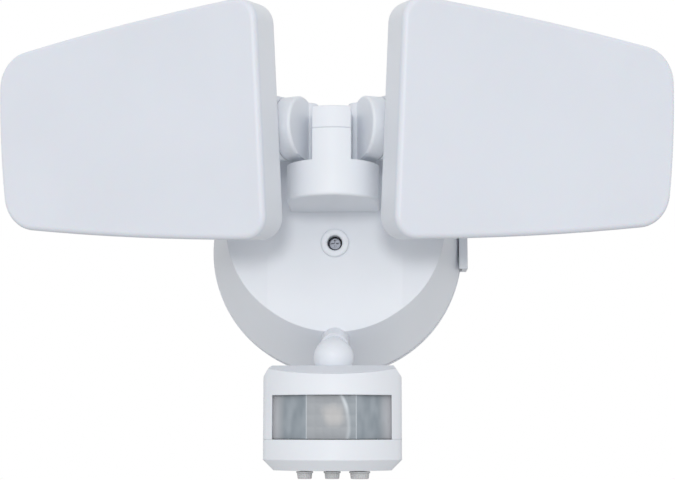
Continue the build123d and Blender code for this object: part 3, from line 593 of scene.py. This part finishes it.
def makeWindow(w, facetHalf):
    low, high = (Vector(corner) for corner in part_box("fresnel_lens"))
    rear = high.y - w["thickness"]
    bm = bmesh.new()
    corners = ((low.x, rear), (-facetHalf, low.y), (facetHalf, low.y), (high.x, rear))
    verts = [bm.verts.new((x, y, low.z)) for x, y in corners]
    facets = [bm.edges.new(pair) for pair in zip(verts, verts[1:])]
    for facet, columns in zip(facets, (w["sideColumns"], w["middleColumns"], w["sideColumns"])):
        bmesh.ops.subdivide_edges(bm, edges=[facet], cuts=columns - 1)
    made = bmesh.ops.extrude_edge_only(bm, edges=list(bm.edges))
    height = high.z - low.z
    bmesh.ops.translate(bm, verts=pick(made, bmesh.types.BMVert), vec=(0, 0, height))
    cutAcross(bm, [low.z + height * row / w["rows"] for row in range(1, w["rows"])], 2)
    for face in bm.faces:
        if face.normal.y > 0:
            face.normal_flip()
    lenses = list(bm.faces)
    bmesh.ops.inset_individual(bm, faces=lenses, thickness=w["border"], use_even_offset=True)
    bmesh.ops.inset_individual(bm, faces=lenses, thickness=w["slope"], depth=w["rise"],
                               use_even_offset=True)
    bmesh.ops.solidify(bm, geom=list(bm.faces), thickness=w["thickness"])
    piece = newPiece("windowLens", bm, "sensor", "sensor_window", "fresnel_lens")
    smoothShade(piece, w["smoothBelow"])


makeWindow(windowShape, windowLook["facetHalf"])

# the three dials under the sensor: a flange, a ridged grip and a slot for a screwdriver

dialShape = {
    "ridges": 20,
    "ridgePoints": 4,          # points round the grip for one ridge and one groove
    "ridgeDepth": 0.00022,
    "flangeRise": 0.0007,
    "flangeTop": 0.0032,       # above the grip's end
    "flangeLip": 0.0006,
    "taper": 0.93,
    "slotHalfWidth": 0.00045,
    "slotHalfLength": 0.0020,
    "slotDepth": 0.0008,
    "stemRadius": 0.0020,
    "corner": 0.00022,
    "smoothBelow": 35,         # degrees
}


def ridgedDisc(bm, radius, d):
    # the grip's end face, with every second pair of points drawn in
    points = d["ridgePoints"]
    bmesh.ops.create_circle(bm, cap_ends=True, segments=d["ridges"] * points, radius=radius)
    ring = sorted(bm.verts, key=lambda vert: math.atan2(vert.co.y, vert.co.x))
    for index, vert in enumerate(ring):
        if index % points < points // 2:
            vert.co *= 1 - d["ridgeDepth"] / radius
    bmesh.ops.scale(bm, verts=bm.verts, vec=(d["taper"], d["taper"], 1))


def sinkSlot(bm, d):
    # presses the screwdriver slot into the end face
    cutAcross(bm, (-d["slotHalfWidth"], d["slotHalfWidth"]), 0)
    cutAcross(bm, (-d["slotHalfLength"], d["slotHalfLength"]), 1)
    slotFaces = [
        face for face in bm.faces
        if abs(face.calc_center_median().x) < d["slotHalfWidth"]
        and abs(face.calc_center_median().y) < d["slotHalfLength"]
    ]
    made = bmesh.ops.extrude_face_region(bm, geom=slotFaces)
    bmesh.ops.translate(bm, verts=pick(made, bmesh.types.BMVert), vec=(0, 0, d["slotDepth"]))
    bmesh.ops.delete(bm, geom=slotFaces, context="FACES_ONLY")


def makeDial(name, body, replaced, d):
    low, high = (Vector(corner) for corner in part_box(replaced))
    middle = (low + high) / 2
    flangeRadius = (high.x - low.x) / 2
    gripRadius = flangeRadius - d["flangeLip"]
    flangeBase = d["flangeTop"] - d["flangeRise"]
    bm = bmesh.new()
    ridgedDisc(bm, gripRadius, d)
    sinkSlot(bm, d)
    rim = [edge for edge in bm.edges if edge.is_boundary]
    gripSteps = (
        (d["corner"], 1.0 + d["corner"] / gripRadius),
        (flangeBase, 1.0 / d["taper"]),
    )
    for height, spread in gripSteps:
        rim = pick(bmesh.ops.extrude_edge_only(bm, edges=rim), bmesh.types.BMEdge)
        verts = list({vert for edge in rim for vert in edge.verts})
        bmesh.ops.translate(bm, verts=verts, vec=(0, 0, height - verts[0].co.z))
        bmesh.ops.scale(bm, verts=verts, vec=(spread, spread, 1))
    roundSteps = (
        (flangeRadius, flangeBase),
        (flangeRadius, d["flangeTop"]),
        (d["stemRadius"], d["flangeTop"]),
        (d["stemRadius"], high.z - low.z),
    )
    for radius, height in roundSteps:
        rim = pick(bmesh.ops.extrude_edge_only(bm, edges=rim), bmesh.types.BMEdge)
        for vert in {vert for edge in rim for vert in edge.verts}:
            flat = Vector((vert.co.x, vert.co.y, 0)).normalized() * radius
            vert.co = Vector((flat.x, flat.y, height))
    bmesh.ops.contextual_create(bm, geom=rim)
    bmesh.ops.translate(bm, verts=bm.verts, vec=(middle.x, middle.y, low.z))
    smoothShade(newPiece(name, bm, body, "knob", replaced), d["smoothBelow"])


for dialName, dialBody, dialNode in (
    ("timeDial", "time_dial", "time_knob"),
    ("rangeDial", "range_dial", "range_knob"),
    ("lightLevelDial", "light_level_dial", "light_level_knob"),
):
    makeDial(dialName, dialBody, dialNode, dialShape)

# solder joints and small parts on the rear of the driver board

boardDetail = {
    "margin": 0.006,
    "columns": 9,
    "rows": 5,
    "leftOut": (3, 5, 4),      # a joint is missing where 3 columns + 5 rows divides by 4
    "wander": 0.0011,          # how far a joint stands off its place
    "wanderPace": (2.3, 4.1),  # how fast that changes with the column and the row
    "jointRadius": 0.0008,
    "jointHeight": 0.0007,
    "jointTip": 0.35,          # share of the radius
    "jointSides": 14,
    "smoothBelow": 60,         # degrees
    "chips": (                 # x and z of each
        (-0.012, 0.020), (0.004, 0.033), (0.016, 0.018), (-0.002, 0.017), (0.021, 0.030),
    ),
    "chipSize": (0.0040, 0.0016, 0.0026),
    "chipCorner": 0.0002,
}


def makeSolderJoints(b):
    low, high = (Vector(corner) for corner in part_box("driver_board"))
    width = high.x - low.x - 2 * b["margin"]
    height = high.z - low.z - 2 * b["margin"]
    columnStep, rowStep, divisor = b["leftOut"]
    columnPace, rowPace = b["wanderPace"]
    bm = bmesh.new()
    for column in range(b["columns"]):
        for row in range(b["rows"]):
            if (column * columnStep + row * rowStep) % divisor == 0:
                continue
            shift = b["wander"] * math.sin(column * columnPace + row * rowPace)
            x = low.x + b["margin"] + width * column / (b["columns"] - 1) + shift
            z = low.z + b["margin"] + height * row / (b["rows"] - 1) - shift
            matrix = Matrix.Translation((x, high.y + b["jointHeight"] / 2, z))
            matrix @= Matrix.Rotation(math.radians(-90), 4, "X")
            bmesh.ops.create_cone(bm, cap_ends=True, segments=b["jointSides"],
                                  radius1=b["jointRadius"],
                                  radius2=b["jointRadius"] * b["jointTip"],
                                  depth=b["jointHeight"], matrix=matrix)
    smoothShade(newPiece("solderJoints", bm, "canopy", "metal_can"), b["smoothBelow"])


def makeSurfaceParts(b):
    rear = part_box("driver_board")[1][1]
    bm = bmesh.new()
    for x, z in b["chips"]:
        made = bmesh.ops.create_cube(bm, size=1.0)
        bmesh.ops.scale(bm, verts=made["verts"], vec=b["chipSize"])
        bmesh.ops.translate(bm, verts=made["verts"], vec=(x, rear + b["chipSize"][1] / 2, z))
    bmesh.ops.bevel(bm, geom=list(bm.edges), offset=b["chipCorner"], affect="EDGES",
                    segments=2, profile=0.5, material=-1)
    newPiece("surfaceParts", bm, "canopy", "parts_black")


makeSolderJoints(boardDetail)
makeSurfaceParts(boardDetail)
print("small pieces made")

# a pale floor far below, a white background and soft daylight from the front

stageLook = {
    "floorHeight": -2.4,       # the light hangs this high on its wall
    "floorReach": 30.0,        # from the middle to each side
    "floorCloudPerMetre": 3,
    "floorTones": ((0.88, 0.88, 0.885), (0.92, 0.92, 0.92)),
    "floorShade": (0.66, 0.66, 0.66),  # the floor as the object sees it
    "floorRoughness": 0.8,
    "ambient": 0.65,
    "background": 1.0,
    "suns": (                  # azimuth, elevation and spread in degrees, then strength
        (0.0, 6.0, 12.0, 0.66),
        (-27.0, 15.0, 26.0, 0.30),
        (27.0, 15.0, 26.0, 0.30),
    ),
    "sunDistance": 2.0,
    "fillPower": 0.42,
    "fillSize": 0.7,
    "fillPlace": Vector((0.0, -0.55, -0.56)),
}


def makeFloor(s):
    mesh = bpy.data.meshes.new("floor")
    bm = bmesh.new()
    bmesh.ops.create_grid(bm, x_segments=1, y_segments=1, size=s["floorReach"])
    bmesh.ops.translate(bm, verts=bm.verts, vec=(0, 0, s["floorHeight"]))
    bm.to_mesh(mesh)
    bm.free()
    floor = bpy.data.objects.new("floor", mesh)
    bpy.context.scene.collection.objects.link(floor)
    f = Finish(bpy.data.materials.new("paleFloor"))
    tone = f.blend(f.noise(s["floorCloudPerMetre"]), *s["floorTones"])
    seen = f.add("ShaderNodeLightPath", None, None, "Is Camera Ray")
    mesh.materials.append(f.surface({
        "Base Color": f.blend(seen, s["floorShade"], tone),
        "Roughness": s["floorRoughness"],
    }))


def makeWorld(s):
    world = bpy.data.worlds.new("softStudio")
    bpy.context.scene.world = world
    f = Finish(world)
    camera, glossy, through = (
        f.add("ShaderNodeLightPath", None, None, ray)
        for ray in ("Is Camera Ray", "Is Glossy Ray", "Is Transmission Ray")
    )
    ambient, background = (
        f.add("ShaderNodeBackground", None, {"Color": (1, 1, 1, 1), "Strength": s[key]})
        for key in ("ambient", "background")
    )
    shows = camera.largest(glossy).largest(through)
    mix = f.add("ShaderNodeMixShader", None, {0: shows, 1: ambient, 2: background})
    f.add("ShaderNodeOutputWorld", None, {"Surface": mix})


def makeLamp(data, place):
    lamp = bpy.data.objects.new(data.name, data)
    lamp.visible_camera = False
    setUp(lamp, place, -place)


def makeLamps(s):
    for azimuth, elevation, spread, strength in s["suns"]:
        sun = bpy.data.lights.new("softSun", "SUN")
        sun.energy = strength
        sun.angle = math.radians(spread)
        makeLamp(sun, s["sunDistance"] * directionTo(azimuth, elevation))
    fill = bpy.data.lights.new("fillLight", "AREA")
    fill.energy = s["fillPower"]
    fill.size = s["fillSize"]
    makeLamp(fill, s["fillPlace"])


makeFloor(stageLook)
makeWorld(stageLook)
makeLamps(stageLook)
bpy.context.scene.view_settings.view_transform = "Standard"
print("stage made")
